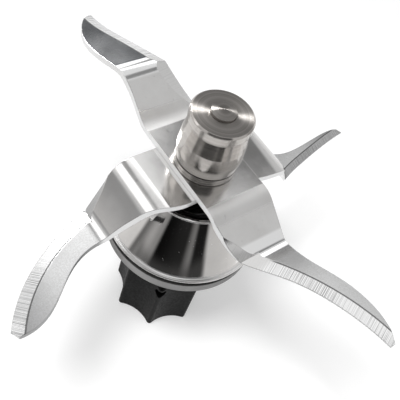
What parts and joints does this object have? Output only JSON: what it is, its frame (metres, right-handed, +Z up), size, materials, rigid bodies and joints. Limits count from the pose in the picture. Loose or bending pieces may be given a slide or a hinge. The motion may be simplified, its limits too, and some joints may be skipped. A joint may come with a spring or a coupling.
{
  "type": "blender blade assembly",
  "caption": "Blender blade unit: crossed folded steel blades on a spindle that spins in a flanged conical bearing housing with a jar gasket, driven by a lobed coupling below.",
  "frame": {"origin": "on the shaft axis, in the plane of the gasket's underside, where the jar's floor seats", "axes": "+Z up along the shaft, from the coupling to the blades; +X along the upper blade's arm that bends down; +Y along the lower blade's slender arm"},
  "size_m": [0.1053, 0.1094, 0.0784],
  "materials": {
    "blade_steel": "brushed stainless sheet with ground edges",
    "hub_steel": "fine turned stainless",
    "cone_steel": "mirror polished stainless",
    "bearing_steel": "ground and polished",
    "sleeve_metal": "machined, black anodised",
    "clip_steel": "dark spring steel",
    "cage_brass": "plain pressed brass",
    "gasket_rubber": "matte moulded silicone",
    "seal_rubber": "black nitrile",
    "base_plastic": "moulded",
    "coupling_plastic": "matte moulded"
  },
  "bodies": {
    "housing": {"bearing_cone": "cone_steel", "jar_gasket": "gasket_rubber", "base_ring": "base_plastic", "bearing_sleeve": "sleeve_metal", "seal_case": "clip_steel", "shaft_seal": "seal_rubber", "seal_spring": "clip_steel", "upper_bearing_outer": "bearing_steel", "lower_bearing_outer": "bearing_steel", "bearing_spacer": "sleeve_metal", "bore_circlip": "clip_steel"},
    "rotor": {"drive_shaft": "hub_steel", "hub_collar": "hub_steel", "hub_washer": "hub_steel", "upper_blade": "blade_steel", "lower_blade": "blade_steel", "blade_boss": "hub_steel", "upper_bearing_inner": "bearing_steel", "lower_bearing_inner": "bearing_steel", "inner_spacer": "sleeve_metal", "shaft_circlip": "clip_steel", "drive_coupling": "coupling_plastic", "coupling_insert": "hub_steel", "coupling_pin": "clip_steel"},
    "upper_cage": {"upper_ball_cage": "cage_brass", "upper_balls": "bearing_steel"},
    "lower_cage": {"lower_ball_cage": "cage_brass", "lower_balls": "bearing_steel"}
  },
  "joints": [
    {"name": "rotor_spin", "type": "hinge", "parent": "housing", "child": "rotor", "pos_m": [0, 0, 0], "axis": [0, 0, 1], "continuous": true},
    {"name": "upper_cage_spin", "type": "hinge", "parent": "housing", "child": "upper_cage", "pos_m": [0, 0, 0], "axis": [0, 0, 1], "continuous": true},
    {"name": "lower_cage_spin", "type": "hinge", "parent": "housing", "child": "lower_cage", "pos_m": [0, 0, 0], "axis": [0, 0, 1], "continuous": true}
  ],
  "couplings": [
    {"joint": "upper_cage_spin", "follows": "rotor_spin", "ratio": 0.38889},
    {"joint": "lower_cage_spin", "follows": "rotor_spin", "ratio": 0.38889}
  ]
}
